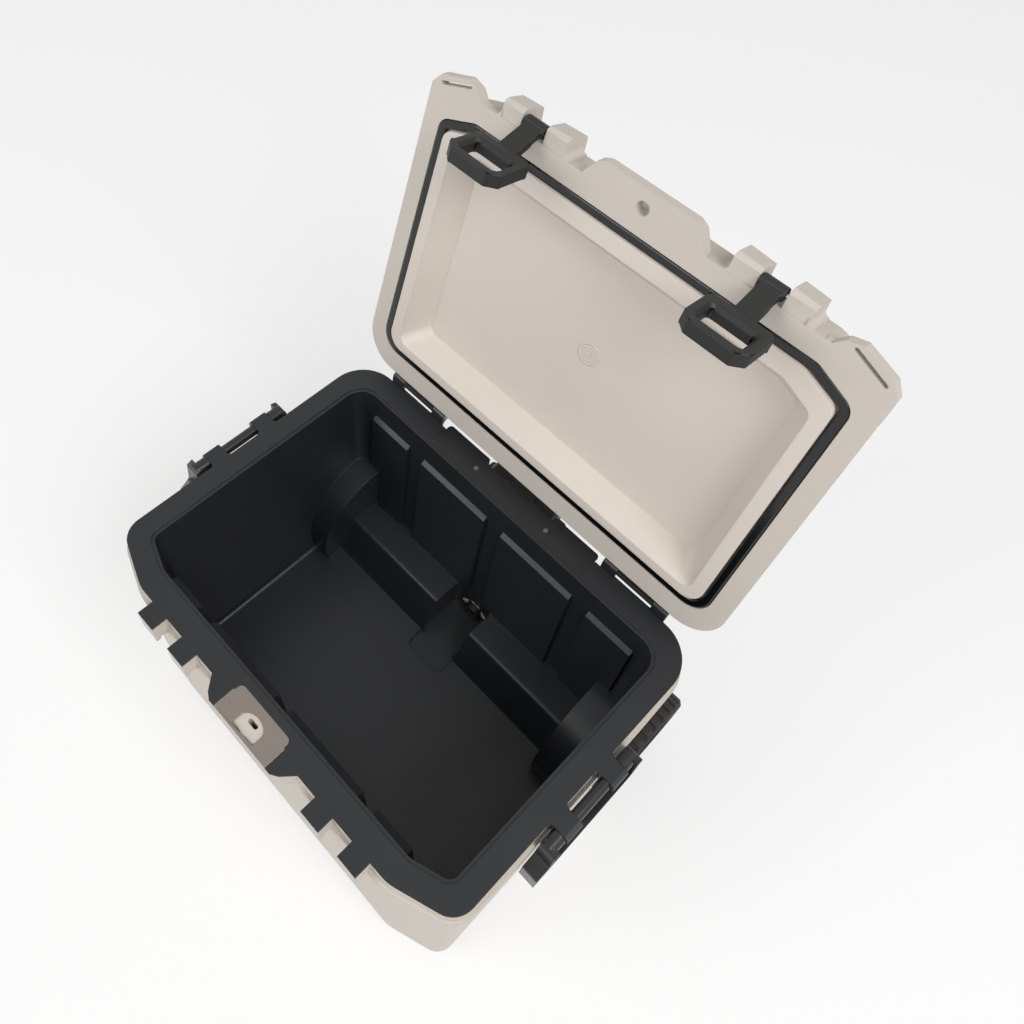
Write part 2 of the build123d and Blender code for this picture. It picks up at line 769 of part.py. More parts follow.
handle_plate_screws = screw_heads(level(-0.4), [(-69.2, 223.7), (69.2, 223.7)], 3.4, 0.7)
handle_plate_screws.label = "handle_plate_screws"
export_step(handle_plate_screws, "parts/handle_plate_screws.step")

# Telescoping tubes: the outer pair fixed, then two sliding stages
STAGES = {
    "outer_tube": (OUTER_R, MIDDLE_R + RUN_FIT, TUBE_BOTTOM, -43.0),
    "middle_tube": (MIDDLE_R, INNER_R + RUN_FIT, TUBE_BOTTOM + 4, -42.4),
    "inner_tube": (INNER_R, INNER_R - 1.5, TUBE_BOTTOM + 8, -30.0),
}
for stage, (radius, bore, foot_h, head_h) in STAGES.items():
    for name, side in SIDES.items():
        with BuildPart() as tube:
            with BuildSketch(level(foot_h)):
                with Locations((side * TUBE_X, TUBE_Y)):
                    Circle(radius)
                    Circle(bore, mode=Mode.SUBTRACT)
            extrude(amount=head_h - foot_h)
        tube.part.label = f"{stage}_{name}"
        export_step(tube.part, f"parts/{stage}_{name}.step")

# Foot bracket that holds the outer tubes against the rear wall
with BuildPart() as lower_bracket:
    with BuildSketch(level(TUBE_BOTTOM - 4)):
        with Locations((0, (236.6 + 273) / 2)):
            RectangleRounded(150, 273 - 236.6, 5)
    extrude(amount=34)
    add(tub_form(0), mode=Mode.SUBTRACT)
    with BuildSketch(level(TUBE_BOTTOM)):
        with Locations((-TUBE_X, TUBE_Y), (TUBE_X, TUBE_Y)):
            Circle(OUTER_R)
    extrude(amount=60, mode=Mode.SUBTRACT)

lower_bracket.part.label = "lower_bracket"
export_step(lower_bracket.part, "parts/lower_bracket.step")

behind_foot = Plane(origin=(0, BODY_Y + 273, RIM_Z), x_dir=(-1, 0, 0), z_dir=(0, 1, 0))
foot_screw_places = [(x, TUBE_BOTTOM + 13) for x in (-68, -20, 20, 68)]
lower_bracket_screws = screw_heads(behind_foot, foot_screw_places, 4, 2)
lower_bracket_screws.label = "lower_bracket_screws"
export_step(lower_bracket_screws, "parts/lower_bracket_screws.step")

# Pull grip on the inner tubes, with its release button and the rods it works inside them
BUTTON_HALF = 22.0
with BuildPart() as pull_grip:
    with BuildSketch(facing(GRIP_FRONT)):
        with BuildLine():
            FilletPolyline(
                (-GRIP_HALF, GRIP_TOP - 30),
                (GRIP_HALF, GRIP_TOP - 30),
                (GRIP_HALF, GRIP_TOP),
                (-GRIP_HALF, GRIP_TOP),
                radius=[4, 4, 10, 10],
                close=True,
            )
        make_face()
    extrude(amount=-GRIP_DEEP)
    chamfer(pull_grip.faces().sort_by(Axis.Y)[-1].edges(), 3)
    with BuildSketch(level(GRIP_TOP)):
        with Locations((0, TUBE_Y)):
            RectangleRounded(2 * BUTTON_HALF + 1, 15, 5)
    extrude(amount=-8, mode=Mode.SUBTRACT)
    with BuildSketch(level(GRIP_TOP - 5)):
        with Locations((0, TUBE_Y)):
            Rectangle(2 * TUBE_X + 10, 8)
    extrude(amount=-9, mode=Mode.SUBTRACT)
    with BuildSketch(level(GRIP_TOP - 30)):
        with Locations((-TUBE_X, TUBE_Y), (TUBE_X, TUBE_Y)):
            Circle(2.4)
    extrude(amount=18, mode=Mode.SUBTRACT)
    with BuildSketch(level(GRIP_TOP - 30)):
        with Locations((-TUBE_X, TUBE_Y), (TUBE_X, TUBE_Y)):
            Circle(INNER_R)
    extrude(amount=12, mode=Mode.SUBTRACT)
    # row of gripping ribs along the front edge
    with BuildSketch(facing(GRIP_FRONT)):
        with Locations((0, GRIP_TOP - 8)):
            with GridLocations(13.2, 1, 8, 1):
                Rectangle(8, 26)
    extrude(amount=-3, mode=Mode.SUBTRACT)

pull_grip.part.label = "pull_grip"
export_step(pull_grip.part, "parts/pull_grip.step")

with BuildPart() as release_button:
    with BuildSketch(level(GRIP_TOP - 1.5)):
        with Locations((0, TUBE_Y)):
            RectangleRounded(2 * BUTTON_HALF, 14, 4.5)
    extrude(amount=-4)
    with BuildSketch(level(GRIP_TOP - 5.5)):
        with Locations((0, TUBE_Y)):
            Rectangle(2 * TUBE_X + 6, 7)
    extrude(amount=-3)

release_button.part.label = "release_button"
export_step(release_button.part, "parts/release_button.step")

with BuildPart() as release_rods:
    with BuildSketch(level(-150)):
        with Locations((-TUBE_X, TUBE_Y), (TUBE_X, TUBE_Y)):
            Circle(2)
    extrude(amount=150 + GRIP_TOP - 8.5)

release_rods.part.label = "release_rods"
export_step(release_rods.part, "parts/release_rods.step")

# Lid: outer shell, inner panel, foam, gasket and plug


def lid_form(skin):
    """The lid's dome as a solid, drawn in by skin."""
    with BuildPart() as form:
        add(lid_outline(lid_level(LID_GAP + skin), -skin))
        extrude(amount=LID_TOP - LID_GAP - 2 * skin, taper=LID_TAPER)
        fillet(form.faces().sort_by(Axis.Z)[-1].edges(), 14 - skin)
    return form.part


def gasket_outline(plane, grow=0.0):
    return cut_corner_outline(
        plane, GASKET_HALF, -210.0, 200.0, 248.0, -188.0, [24, 24, 20, 34, 34, 20], grow
    )


def panel_outline(plane, grow=0.0):
    return cut_corner_outline(
        plane, PANEL_HALF, -197.5, 186.5, 236.0, -179.5, [24, 24, 18, 26, 26, 18], grow
    )


def recess_outline(plane, grow=0.0):
    return cut_corner_outline(
        plane, 271.0, -173.5, 172.0, 226.0, -156.0, [14, 14, 14, 16, 16, 14], grow
    )


def recess_floor_outline(plane, grow=0.0):
    return cut_corner_outline(
        plane, 247.0, -146.0, 150.0, 212.0, -134.0, [12, 12, 12, 14, 14, 12], grow
    )


def recess_form(skin):
    """The hollow of the inner panel, grown outward by skin."""
    with BuildPart() as form:
        add(recess_outline(lid_level(-3), skin))
        add(recess_floor_outline(lid_level(RECESS_FLOOR + skin), skin))
        loft(ruled=True)
    return form.part


corner_tab = [
    (230, -228),
    (240, RIM_FRONT),
    (247, RIM_FRONT),
    (258, -251.5),
    (276, -256.5),
    (318, -242),
    (HALF_LENGTH, -226),
    (HALF_LENGTH, -190),
    (300, -190),
]

with BuildPart() as lid_shell:
    add(lid_form(0))
    for side in SIDES.values():
        with BuildSketch(lid_level(LID_GAP)):
            with BuildLine():
                Polyline([(side * x, y) for x, y in corner_tab], close=True)
            make_face()
        extrude(amount=13)
        for near, far in BOSSES:
            with BuildSketch(lid_across(side * near)):
                with BuildLine():
                    FilletPolyline(
                        (RIM_FRONT + 10, LID_GAP),
                        (-260, LID_GAP),
                        (-264, 8),
                        (-260, 40),
                        (RIM_FRONT + 10, 46),
                        radius=[0, 4, 5, 5, 0],
                        close=True,
                    )
                make_face()
            extrude(amount=side * (far - near), taper=3)
        # soft corners where the outer sides of the bosses leave the lid's edge
        near, far = BOSSES[0][0], BOSSES[-1][1]
        with BuildSketch(lid_level(LID_GAP)):
            with Locations((side * (near - 3), RIM_FRONT + 1), (side * (far + 3), RIM_FRONT + 1)):
                Rectangle(10, 18)
            with Locations((side * (near - 8), RIM_FRONT - 8), (side * (far + 8), RIM_FRONT - 8)):
                Circle(8, mode=Mode.SUBTRACT)
        extrude(amount=38)
    with BuildSketch(lid_level(LID_GAP)):
        with BuildLine():
            Polyline(
                (-88, RIM_FRONT + 6),
                (-88, RIM_FRONT),
                (-73, -263),
                (-62, -268),
                (62, -268),
                (73, -263),
                (88, RIM_FRONT),
                (88, RIM_FRONT + 6),
                close=True,
            )
        make_face()
    extrude(amount=14)
    with BuildPart(mode=Mode.PRIVATE) as hollow:
        add(lid_form(WALL))
        with BuildSketch(lid_level(0)):
            with Locations((0, RIM_FRONT)):
                Rectangle(40, 30)
        extrude(amount=LID_TOP, mode=Mode.SUBTRACT)
    add(hollow.part, mode=Mode.SUBTRACT)
    add(gasket_outline(lid_level(-1), 0.6))
    extrude(amount=WALL + 4, mode=Mode.SUBTRACT)
    # hole for a padlock, and a strap slot in each corner tab
    with BuildSketch(lid_level(-1)):
        with Locations((0, PADLOCK_Y)):
            Circle(PADLOCK_R)
    extrude(amount=LID_TOP + 4, mode=Mode.SUBTRACT)
    for side in SIDES.values():
        with BuildSketch(lid_level(-1)):
            with Locations(Location((side * 292, -240.5), side * 20.5)):
                SlotOverall(50, 5)
        extrude(amount=20, mode=Mode.SUBTRACT)
    # holes for the latch pins
    for side in SIDES.values():
        with BuildSketch(lid_across(side * 120)):
            with Locations((LATCH_PIN_Y, LATCH_PIN_H)):
                Circle(LATCH_PIN_R + RUN_FIT)
        extrude(amount=side * 96, mode=Mode.SUBTRACT)

save_opened(lid_shell.part, "lid_shell")

with BuildPart() as lid_inner_panel:
    add(gasket_outline(lid_level(8), 0.6))
    extrude(amount=WALL)
    add(panel_outline(lid_level(-3)))
    extrude(amount=12)
    add(recess_form(WALL))
    add(recess_form(0), mode=Mode.SUBTRACT)
    with BuildPart(mode=Mode.PRIVATE) as behind_border:
        add(panel_outline(lid_level(0), -WALL))
        extrude(amount=WALL + 8)
        add(recess_form(WALL), mode=Mode.SUBTRACT)
    add(behind_border.part, mode=Mode.SUBTRACT)

save_opened(lid_inner_panel.part, "lid_inner_panel")

with BuildPart() as lid_insulation:
    add(lid_form(WALL))
    add(gasket_outline(lid_level(-5), 0.6))
    extrude(amount=16, mode=Mode.SUBTRACT)
    add(recess_form(WALL), mode=Mode.SUBTRACT)
    with BuildSketch(lid_level(0)):
        with Locations((0, RIM_FRONT)):
            Rectangle(40, 30)
    extrude(amount=LID_TOP, mode=Mode.SUBTRACT)

save_opened(lid_insulation.part, "lid_insulation")

with BuildPart() as lid_gasket:
    add(gasket_outline(lid_level(0.2)))
    extrude(amount=7.8)
    add(gasket_outline(lid_level(0.2), -GASKET_WIDE))
    extrude(amount=7.8, mode=Mode.SUBTRACT)

save_opened(lid_gasket.part, "lid_gasket")

with BuildPart() as lid_foam_plug:
    with BuildSketch(lid_level(RECESS_FLOOR - 0.8)):
        with Locations((0, -4)):
            Circle(17)
    extrude(amount=0.8)

save_opened(lid_foam_plug.part, "lid_foam_plug")

# Hinges: a leaf on the tub's rear wall and one on the lid's, knuckled on a steel pin
for name, side in SIDES.items():
    near, far = HINGE_BAND
    with BuildPart() as body_leaf:
        for start in (near, far - KNUCKLE):
            with BuildSketch(across(side * start)):
                with Locations((HINGE_Y, HINGE_H)):
                    Circle(BARREL_R)
                with BuildLine():
                    Polyline(
                        (RIM_BACK + 0.1, -2),
                        (RIM_BACK + 3.1, -2),
                        (HINGE_Y + 2, HINGE_H - 4),
                        (HINGE_Y - BARREL_R + 0.5, HINGE_H),
                        (RIM_BACK + 0.1, 6),
                        close=True,
                    )
                make_face()
            extrude(amount=side * KNUCKLE)
        with BuildSketch(across(side * near)):
            with Locations((RIM_BACK + 1.6, -12)):
                Rectangle(3, 24)
        extrude(amount=side * (far - near))
        with BuildSketch(across(side * near)):
            with Locations((HINGE_Y, HINGE_H)):
                Circle(HINGE_PIN_R)
        extrude(amount=side * (far - near), mode=Mode.SUBTRACT)
    body_leaf.part.label = f"hinge_leaf_body_{name}"
    export_step(body_leaf.part, f"parts/hinge_leaf_body_{name}.step")
    with BuildPart() as lid_leaf:
        with BuildSketch(lid_across(side * (near + KNUCKLE + 0.4))):
            with Locations((HINGE_Y, HINGE_H)):
                Circle(BARREL_R)
            with BuildLine():
                Polyline(
                    (LID_BACK + 0.2, 6),
                    (HINGE_Y, HINGE_H - BARREL_R + 0.5),
                    (HINGE_Y, HINGE_H + BARREL_R - 0.5),
                    (LID_BACK + 0.2, 22),
                    close=True,
                )
            make_face()
        extrude(amount=side * (far - near - 2 * KNUCKLE - 0.8))
        with BuildSketch(lid_across(side * near)):
            with BuildLine():
                Polyline(
                    (LID_BACK + 0.2, 5),
                    (LID_BACK + 3.2, 5),
                    (LID_BACK + 3.2, 34),
                    (LID_BACK + 0.2, 34),
                    close=True,
                )
            make_face()
        extrude(amount=side * (far - near))
        add(lid_form(0), mode=Mode.SUBTRACT)
        with BuildSketch(lid_across(side * near)):
            with Locations((HINGE_Y, HINGE_H)):
                Circle(HINGE_PIN_R + RUN_FIT)
        extrude(amount=side * (far - near), mode=Mode.SUBTRACT)
    save_opened(lid_leaf.part, f"hinge_leaf_lid_{name}")
    with BuildPart() as hinge_pin:
        with BuildSketch(across(side * near)):
            with Locations((HINGE_Y, HINGE_H)):
                Circle(HINGE_PIN_R)
        extrude(amount=side * (far - near))
    hinge_pin.part.label = f"hinge_pin_{name}"
    export_step(hinge_pin.part, f"parts/hinge_pin_{name}.step")

behind_rim = Plane(origin=(0, BODY_Y + RIM_BACK + 3.1, RIM_Z), x_dir=(-1, 0, 0), z_dir=(0, 1, 0))
HINGE_SCREWS_X = [side * x for side in SIDES.values() for x in (175, 213, 251)]
hinge_screws_body = screw_heads(behind_rim, [(x, -15) for x in HINGE_SCREWS_X], 4, 1.8)
hinge_screws_body.label = "hinge_screws_body"
export_step(hinge_screws_body, "parts/hinge_screws_body.step")

behind_lid = Plane(origin=(0, LID_BACK + 3.2, 0), x_dir=(-1, 0, 0), z_dir=(0, 1, 0))
hinge_screws_lid = screw_heads(behind_lid, [(x, 28) for x in HINGE_SCREWS_X], 4, 1.8)
save_opened(hinge_screws_lid, "hinge_screws_lid")

# Latches: a rubber arm and pull ring on a steel pin between two bosses of the lid
arm_way = (sin(radians(LATCH_LEAN)), -cos(radians(LATCH_LEAN)))
arm_side = (cos(radians(LATCH_LEAN)), sin(radians(LATCH_LEAN)))


def arm_point(along, inward):
    """A point of the latch arm, from the pin along it and towards the lid's inside."""
    return (
        LATCH_PIN_Y + along * arm_way[0] + inward * arm_side[0],
        LATCH_PIN_H + along * arm_way[1] + inward * arm_side[1],
    )


for name, side in SIDES.items():
    middle = side * LATCH_X
    with BuildPart() as latch_pin:
        with BuildSketch(lid_across(side * 124)):
            with Locations((LATCH_PIN_Y, LATCH_PIN_H)):
                Circle(LATCH_PIN_R)
        extrude(amount=side * 88)
    save_opened(latch_pin.part, f"latch_pin_{name}")
    with BuildPart() as latch:
        with BuildSketch(lid_across(middle - ARM_WIDE / 2)):
            with Locations((LATCH_PIN_Y, LATCH_PIN_H)):
                Circle(9)
            with BuildLine():
                Polyline(
                    arm_point(0, -ARM_THICK / 2),
                    arm_point(52, -ARM_THICK / 2),
                    (RING_FACE, RING_TOP - 6),
                    (RING_FACE + RING_THICK, RING_TOP - 6),
                    (RING_FACE + RING_THICK, RING_TOP + 4),
                    arm_point(38, ARM_THICK / 2),
                    arm_point(26, ARM_THICK / 2),
                    arm_point(20, ARM_THICK / 4),
                    arm_point(8, ARM_THICK / 4),
                    arm_point(0, ARM_THICK / 2),
                    close=True,
                )
            make_face()
        extrude(amount=ARM_WIDE)
        with BuildSketch(lid_across(middle - HEAD_WIDE / 2)):
            with Locations((LATCH_PIN_Y, LATCH_PIN_H)):
                Circle(9)
        extrude(amount=HEAD_WIDE)
        half = RING_WIDE / 2
        low = RING_TOP - RING_TALL
        ring_plane = Plane(origin=(middle, RING_FACE, 0), x_dir=(1, 0, 0), z_dir=(0, -1, 0))
        with BuildSketch(ring_plane) as ring:
            with BuildLine():
                FilletPolyline(
                    (-half, RING_TOP - 4),
                    (-half + 4, RING_TOP),
                    (half - 4, RING_TOP),
                    (half, RING_TOP - 4),
                    (half, low + 13),
                    (half - 13, low),
                    (-half + 13, low),
                    (-half, low + 13),
                    radius=[2, 2, 2, 2, 4, 4, 4, 4],
                    close=True,
                )
            make_face()
        extrude(amount=-RING_THICK)
        with BuildSketch(ring_plane):
            with Locations((0, low + 32)):
                RectangleRounded(54, 32, 5)
        extrude(amount=-RING_THICK, mode=Mode.SUBTRACT)
        # the slot widens towards the outside
        with BuildSketch(ring_plane):
            with Locations((0, low + 32)):
                RectangleRounded(64, 42, 9)
        extrude(amount=-6, taper=40, mode=Mode.SUBTRACT)
        with BuildSketch(lid_across(middle - ARM_WIDE)):
            with Locations((LATCH_PIN_Y, LATCH_PIN_H)):
                Circle(LATCH_PIN_R + RUN_FIT)
        extrude(amount=2 * ARM_WIDE, mode=Mode.SUBTRACT)
    save_opened(latch.part, f"latch_{name}")

# Side handles: a moulded bail pressed on a round bar that turns in the lugs
HANDLE_X = 349.0
HANDLE_THICK = 24.0
for name, side in SIDES.items():
    with BuildPart() as pivot:
        with BuildSketch(facing(-76)):
            with Locations((side * PIVOT_X, PIVOT_H)):
                Circle(PIVOT_R)
        extrude(amount=-152)
    pivot.part.label = f"side_pivot_{name}"
    export_step(pivot.part, f"parts/side_pivot_{name}.step")
    with BuildPart() as bail:
        with BuildSketch(across(side * (HANDLE_X - HANDLE_THICK / 2))):
            with BuildLine():
                FilletPolyline(
                    (-72, -1),
                    (-82, -5),
                    (-85, -40),
                    (-104, -54),
                    (-104, -92),
                    (-94, -104),
                    (82, -104),
                    (92, -94),
                    (88, -40),
                    (82, -5),
                    (72, -1),
                    (72, -22),
                    (77, -27),
                    (79, -60),
                    (78, -82),
                    (-84, -82),
                    (-90, -74),
                    (-90, -62),
                    (-77, -50),
                    (-77, -27),
                    (-72, -22),
                    radius=[1, 4, 8, 8, 8, 6, 6, 6, 8, 4, 1, 1, 2, 5, 3, 3, 3, 3, 3, 2, 1],
                    close=True,
                )
            make_face()
        extrude(amount=side * HANDLE_THICK)
        with BuildSketch(facing(57)):
            with Locations((side * PIVOT_X, PIVOT_H)):
                Circle(10.5)
        extrude(amount=-22)
        with BuildSketch(facing(-79)):
            with Locations((side * PIVOT_X, PIVOT_H)):
                Circle(10.5)
        extrude(amount=-22)
        with BuildSketch(facing(-76)):
            with Locations((side * PIVOT_X, PIVOT_H)):
                Circle(PIVOT_R)
        extrude(amount=-152, mode=Mode.SUBTRACT)
    bail.part.label = f"side_handle_{name}"
    export_step(bail.part, f"parts/side_handle_{name}.step")
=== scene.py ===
import json
from math import pi, radians

import bmesh
import bpy
from mathutils import Matrix, Vector
from mathutils.bvhtree import BVHTree


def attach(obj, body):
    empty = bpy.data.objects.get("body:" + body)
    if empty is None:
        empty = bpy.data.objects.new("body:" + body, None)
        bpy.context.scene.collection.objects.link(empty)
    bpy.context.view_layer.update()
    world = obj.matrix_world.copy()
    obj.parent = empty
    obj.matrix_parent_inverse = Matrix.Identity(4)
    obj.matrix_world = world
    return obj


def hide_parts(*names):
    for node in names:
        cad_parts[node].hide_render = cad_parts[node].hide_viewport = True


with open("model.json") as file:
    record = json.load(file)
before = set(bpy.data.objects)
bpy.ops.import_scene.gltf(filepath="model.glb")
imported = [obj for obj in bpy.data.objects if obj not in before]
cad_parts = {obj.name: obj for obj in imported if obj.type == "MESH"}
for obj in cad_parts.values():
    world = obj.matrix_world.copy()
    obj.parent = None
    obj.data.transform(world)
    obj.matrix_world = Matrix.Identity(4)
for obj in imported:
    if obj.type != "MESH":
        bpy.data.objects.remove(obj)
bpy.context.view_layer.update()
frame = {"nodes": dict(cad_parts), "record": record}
solids = frame["nodes"]

# Viewpoint
# The cooler is looked down on from above its right front corner, turned in the frame.
# The camera stands where the rim's and the lid's edges line up with the photograph.
IMAGE_WIDTH = 1024
FOCAL_PIXELS = 977.66
SENSOR_MM = 36.0
AXIS_PIXEL = (440.33, 362.23)
VIEW_RIGHT = Vector((0.69561, 0.71672, 0.04938))
VIEW_UP = Vector((-0.59472, 0.5359, 0.59927))
VIEW_BACK = Vector((0.40304, -0.44622, 0.79902))
EYE = Vector((0.3817, -0.4477, 1.641))

lens = bpy.data.cameras.new("photo_camera")
lens.sensor_width = SENSOR_MM
lens.lens = FOCAL_PIXELS * SENSOR_MM / IMAGE_WIDTH
lens.shift_x = 0.5 - AXIS_PIXEL[0] / IMAGE_WIDTH
lens.shift_y = AXIS_PIXEL[1] / IMAGE_WIDTH - 0.5
camera = bpy.data.objects.new("photo_camera", lens)
turn = Matrix((VIEW_RIGHT, VIEW_UP, VIEW_BACK)).transposed()
camera.matrix_world = Matrix.Translation(EYE) @ turn.to_4x4()
bpy.context.scene.collection.objects.link(camera)
bpy.context.scene.camera = camera

# Outer tub
# One injection moulding in pale warm grey polyethylene, with four latch keepers and a boss
# for a padlock on its front. Its mould was etched, so it is matt with a very fine grain.
# The functions that dress it dress the other pieces too.
PALE = "#C3BBB2"
PALE_LOW = "#BCB4AB"

# lengths in metres, as in the frame
WELD_GAP = 2e-5
# where faces meet at more than EDGE_ANGLE there is an edge, and at less than FLAT_ANGLE a flat
EDGE_ANGLE = radians(28)
FLAT_ANGLE = radians(0.3)

body_of = {}
for body, members in frame["record"]["behaviour"]["bodies"].items():
    for member in members:
        body_of[member] = body


def linear(colour):
    """Turns an sRGB hex colour into the linear values that shaders take."""
    shares = [int(colour[i : i + 2], 16) / 255 for i in (1, 3, 5)]
    values = [s / 12.92 if s <= 0.04045 else ((s + 0.055) / 1.055) ** 2.4 for s in shares]
    return (*values, 1.0)


def add_node(tree, kind, settings, links=()):
    """Adds a shader node, sets its sockets and properties, and links outputs into its inputs."""
    node = tree.nodes.new(kind)
    for key, value in settings.items():
        if isinstance(key, int) or key in node.inputs:
            node.inputs[key].default_value = value
        else:
            setattr(node, key, value)
    for socket, source in links:
        tree.links.new(source, node.inputs[socket])
    return node


def new_material(name):
    """A material, its node tree and its shader."""
    material = bpy.data.materials.new(name)
    material.use_nodes = True
    tree = material.node_tree
    return material, tree, tree.nodes["Principled BSDF"]


def moulded(name, high, low, gloss, grain_mm, depth_mm, stretch=(1, 1, 1), sheen=0.5, edge_mm=0.8):
    """A moulded plastic or rubber: two close tones, a grain of a real size, and its gloss range.

    Its edges catch the light as edges rounded to edge_mm do."""
    material, tree, shader = new_material(name)
    place = add_node(tree, "ShaderNodeTexCoord", {}).outputs["Object"]
    clouds = add_node(tree, "ShaderNodeTexNoise", {"Scale": 9, "Detail": 4}, [("Vector", place)])
    # sockets 6 and 7 are the two colours that are mixed, and output 2 is their mix
    tones = add_node(
        tree,
        "ShaderNodeMix",
        {"data_type": "RGBA", 6: linear(low), 7: linear(high)},
        [("Factor", clouds.outputs["Fac"])],
    )
    tree.links.new(tones.outputs[2], shader.inputs["Base Color"])
    shine = add_node(
        tree,
        "ShaderNodeMapRange",
        {"From Min": 0.3, "From Max": 0.7, "To Min": gloss[0], "To Max": gloss[1]},
        [("Value", clouds.outputs["Fac"])],
    )
    tree.links.new(shine.outputs["Result"], shader.inputs["Roughness"])
    spread = add_node(tree, "ShaderNodeMapping", {"Scale": stretch}, [("Vector", place)])
    grain = add_node(
        tree,
        "ShaderNodeTexNoise",
        {"Scale": 1000 / grain_mm, "Detail": 2},
        [("Vector", spread.outputs["Vector"])],
    )
    edge = add_node(tree, "ShaderNodeBevel", {"Radius": edge_mm / 1000})
    bump = add_node(
        tree,
        "ShaderNodeBump",
        {"Strength": 0.6, "Distance": depth_mm / 1000},
        [("Height", grain.outputs["Fac"]), ("Normal", edge.outputs["Normal"])],
    )
    tree.links.new(bump.outputs["Normal"], shader.inputs["Normal"])
    shader.inputs["Specular IOR Level"].default_value = sheen
    return material


def welded(node):
    """The form of a CAD solid's mesh with its corners joined."""
    form = bmesh.new()
    form.from_mesh(solids[node].data)
    bmesh.ops.remove_doubles(form, verts=form.verts, dist=WELD_GAP)
    for face in form.faces:
        face.smooth = True
    return form


def shown_for(node, mesh, material):
    """A piece of this mesh, shown in place of a CAD solid and moving with it."""
    piece = bpy.data.objects.new(f"{node}_moulding", mesh)
    bpy.context.scene.collection.objects.link(piece)
    mesh.materials.clear()
    mesh.materials.append(material)
    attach(piece, body_of[node])
    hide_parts(node)


def crisp(node, material):
    """A CAD solid with its curves shaded smooth and its edges kept.

    At each corner the widest flat gives the direction, so that no flat shows a gradient."""
    form = welded(node)
    form.faces.ensure_lookup_table()
    flat_of = {}
    sizes = []
    for start in form.faces:
        if start in flat_of:
            continue
        flat_of[start] = len(sizes)
        sizes.append(0.0)
        front = [start]
        while front:
            here = front.pop()
            sizes[-1] += here.calc_area()
            for edge in here.edges:
                for there in edge.link_faces:
                    if there not in flat_of and there.normal.angle(here.normal, 0) < FLAT_ANGLE:
                        flat_of[there] = flat_of[start]
                        front.append(there)
    directions = []
    for face in form.faces:
        for corner in face.verts:
            near = [f for f in corner.link_faces if f.normal.angle(face.normal, 0) < EDGE_ANGLE]
            mean = sum((f.normal * sizes[flat_of[f]] for f in near), Vector())
            directions.append(mean.normalized())
    mesh = bpy.data.meshes.new(node)
    form.to_mesh(mesh)
    form.free()
    mesh.normals_split_custom_set(directions)
    shown_for(node, mesh, material)


def rounded(node, width_mm, material, segments=3):
    """A CAD solid with its sharp edges rounded in its mesh."""
    form = welded(node)
    mesh = bpy.data.meshes.new(node)
    form.to_mesh(mesh)
    surface = BVHTree.FromBMesh(form)
    form.free()
    blank = bpy.data.objects.new(f"{node}_blank", mesh)
    bpy.context.scene.collection.objects.link(blank)
    edges = blank.modifiers.new("rounded_edges", "BEVEL")
    edges.width = width_mm / 1000
    edges.segments = segments
    edges.limit_method = "ANGLE"
    edges.angle_limit = EDGE_ANGLE
    edges.use_clamp_overlap = False
    edges.miter_outer = "MITER_ARC"
    edges.face_strength_mode = "FSTR_ALL"
    flats = blank.modifiers.new("flat_faces_stay_flat", "WEIGHTED_NORMAL")
    flats.use_face_influence = True
    made = bpy.data.meshes.new_from_object(
        blank.evaluated_get(bpy.context.evaluated_depsgraph_get())
    )
    bpy.data.objects.remove(blank)
    # a true rounding stays within 0.7 of its width from the solid: in narrow slots, corners
    # that run past their neighbour go back to it
    for corner in made.vertices:
        place, _, _, gap = surface.find_nearest(corner.co)
        if gap > 0.7 * width_mm / 1000:
            corner.co = place
    shown_for(node, made, material)


def dress(node, material):
    """Gives a CAD solid that keeps its own shape its finish."""
    solids[node].data.materials.clear()
    solids[node].data.materials.append(material)


etched_polyethylene = moulded(
    "etched pale polyethylene", PALE, PALE_LOW, (0.55, 0.66), 1.1, 0.12, (1, 1, 0.25), edge_mm=1.5
)
crisp("body_shell", etched_polyethylene)

# Inner tub
# One moulding in charcoal polypropylene: rim deck, side lugs, walls, wheel humps and bench.
# Its mould was polished, so it mirrors bright things softly and its edges catch the light.
polished_polypropylene = moulded(
    "polished charcoal polypropylene",
    "#252629",
    "#202124",
    (0.3, 0.4),
    5.0,
    0.015,
    sheen=0.35,
    edge_mm=1.5,
)
crisp("liner", polished_polypropylene)

# Foam
# Polyurethane foam fills the tub and the lid. It shows nowhere, and is a dull cream.
blown_foam = moulded("blown polyurethane foam", "#E6DDC2", "#D8CDAE", (0.8, 0.9), 1.5, 0.4)
dress("body_insulation", blown_foam)
dress("lid_insulation", blown_foam)

# Lock plate
# A stamped stainless plate let into the rim, brushed along its length, on two screws.
brushed_stainless, steel_tree, steel_shader = new_material("brushed stainless steel")
steel_shader.inputs["Base Color"].default_value = linear("#8C847C")
steel_shader.inputs["Metallic"].default_value = 1.0
steel_place = add_node(steel_tree, "ShaderNodeTexCoord", {}).outputs["Object"]
# brush lines 0.4 mm apart and some 20 mm long
steel_lines = add_node(
    steel_tree, "ShaderNodeMapping", {"Scale": (50, 2500, 2500)}, [("Vector", steel_place)]
)
steel_brush = add_node(
    steel_tree,
    "ShaderNodeTexNoise",
    {"Scale": 1.0, "Detail": 3},
    [("Vector", steel_lines.outputs["Vector"])],
)
steel_shine = add_node(
    steel_tree,
    "ShaderNodeMapRange",
    {"To Min": 0.28, "To Max": 0.42},
    [("Value", steel_brush.outputs["Fac"])],
)
steel_tree.links.new(steel_shine.outputs["Result"], steel_shader.inputs["Roughness"])
rounded("lock_plate", 0.3, brushed_stainless)
for screws in ("lock_plate_screws", "handle_plate_screws"):
    dress(screws, brushed_stainless)

